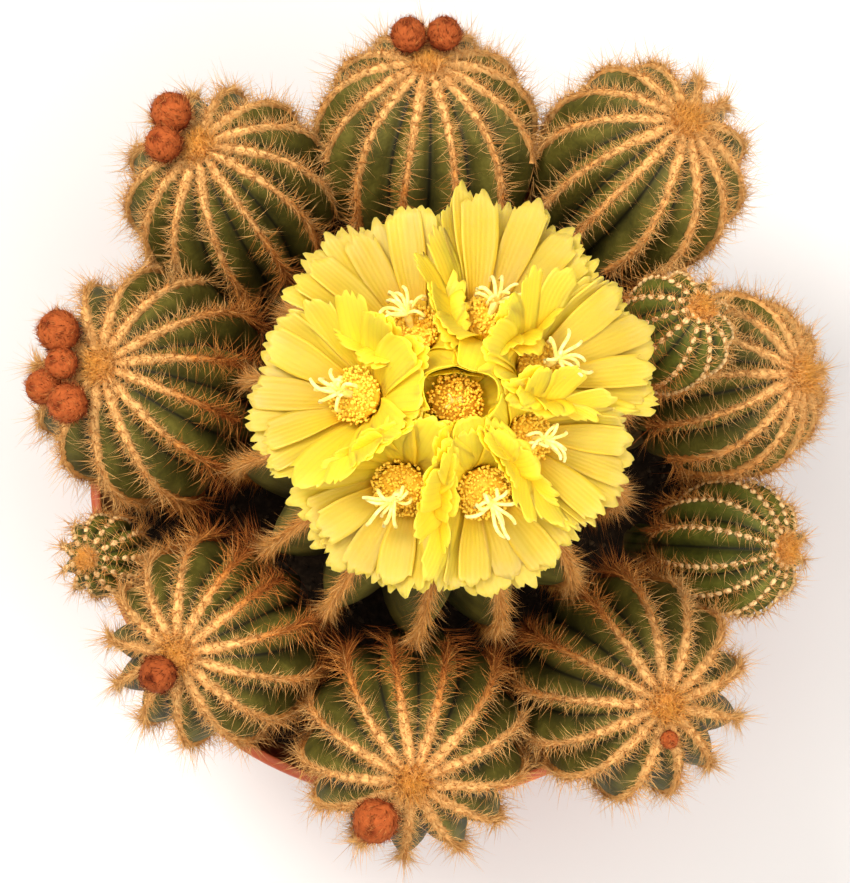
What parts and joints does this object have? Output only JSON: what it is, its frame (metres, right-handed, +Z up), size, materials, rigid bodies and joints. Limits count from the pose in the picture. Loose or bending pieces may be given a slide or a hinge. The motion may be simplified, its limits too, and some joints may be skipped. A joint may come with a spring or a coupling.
{
  "type": "potted balloon cactus",
  "caption": "Clump of ribbed globe-shaped cactus stems with golden wool and spines, a crown of yellow flowers and rust-coloured buds, growing in a round tapered terracotta-coloured pot.",
  "frame": {"origin": "centre of the pot's flat foot, on the surface that the pot stands on", "axes": "+Z up through the plant, +X to the right and +Y to the top of the picture, which looks down on the plant; -Y is the front"},
  "size_m": [0.2522, 0.2641, 0.2787],
  "materials": {
    "pot": "satin",
    "potting_mix": "matte",
    "skin": "satin",
    "young_skin": "satin",
    "golden_spines": "matte",
    "petals": "satin",
    "stamens": "matte",
    "stigma": "matte",
    "rust_wool": "matte"
  },
  "bodies": {
    "root": {"flower_1_petals": "petals", "flower_1_stamens": "stamens", "flower_1_stigma": "stigma", "flower_2_petals": "petals", "flower_2_stamens": "stamens", "flower_2_stigma": "stigma", "flower_3_petals": "petals", "flower_3_stamens": "stamens", "flower_3_stigma": "stigma", "flower_4_petals": "petals", "flower_4_stamens": "stamens", "flower_4_stigma": "stigma", "flower_5_petals": "petals", "flower_5_stamens": "stamens", "flower_5_stigma": "stigma", "flower_6_petals": "petals", "flower_6_stamens": "stamens", "flower_6_stigma": "stigma", "flower_7_petals": "petals", "flower_7_stamens": "stamens", "flower_7_stigma": "stigma", "flower_8_petals": "petals", "flower_8_stamens": "stamens", "flower_8_stigma": "stigma", "flower_tubes": "rust_wool", "mother_spines": "golden_spines", "mother_stem": "skin", "offset_10_buds": "rust_wool", "offset_10_spines": "golden_spines", "offset_10_stem": "skin", "offset_11_buds": "rust_wool", "offset_11_spines": "golden_spines", "offset_11_stem": "skin", "offset_1_buds": "rust_wool", "offset_1_spines": "golden_spines", "offset_1_stem": "skin", "offset_2_spines": "golden_spines", "offset_2_stem": "skin", "offset_3_spines": "golden_spines", "offset_3_stem": "young_skin", "offset_4_spines": "golden_spines", "offset_4_stem": "skin", "offset_5_spines": "golden_spines", "offset_5_stem": "young_skin", "offset_6_buds": "rust_wool", "offset_6_spines": "golden_spines", "offset_6_stem": "skin", "offset_7_buds": "rust_wool", "offset_7_spines": "golden_spines", "offset_7_stem": "skin", "offset_8_buds": "rust_wool", "offset_8_spines": "golden_spines", "offset_8_stem": "skin", "offset_9_spines": "golden_spines", "offset_9_stem": "young_skin", "pot": "pot", "soil": "potting_mix"}
  },
  "joints": []
}
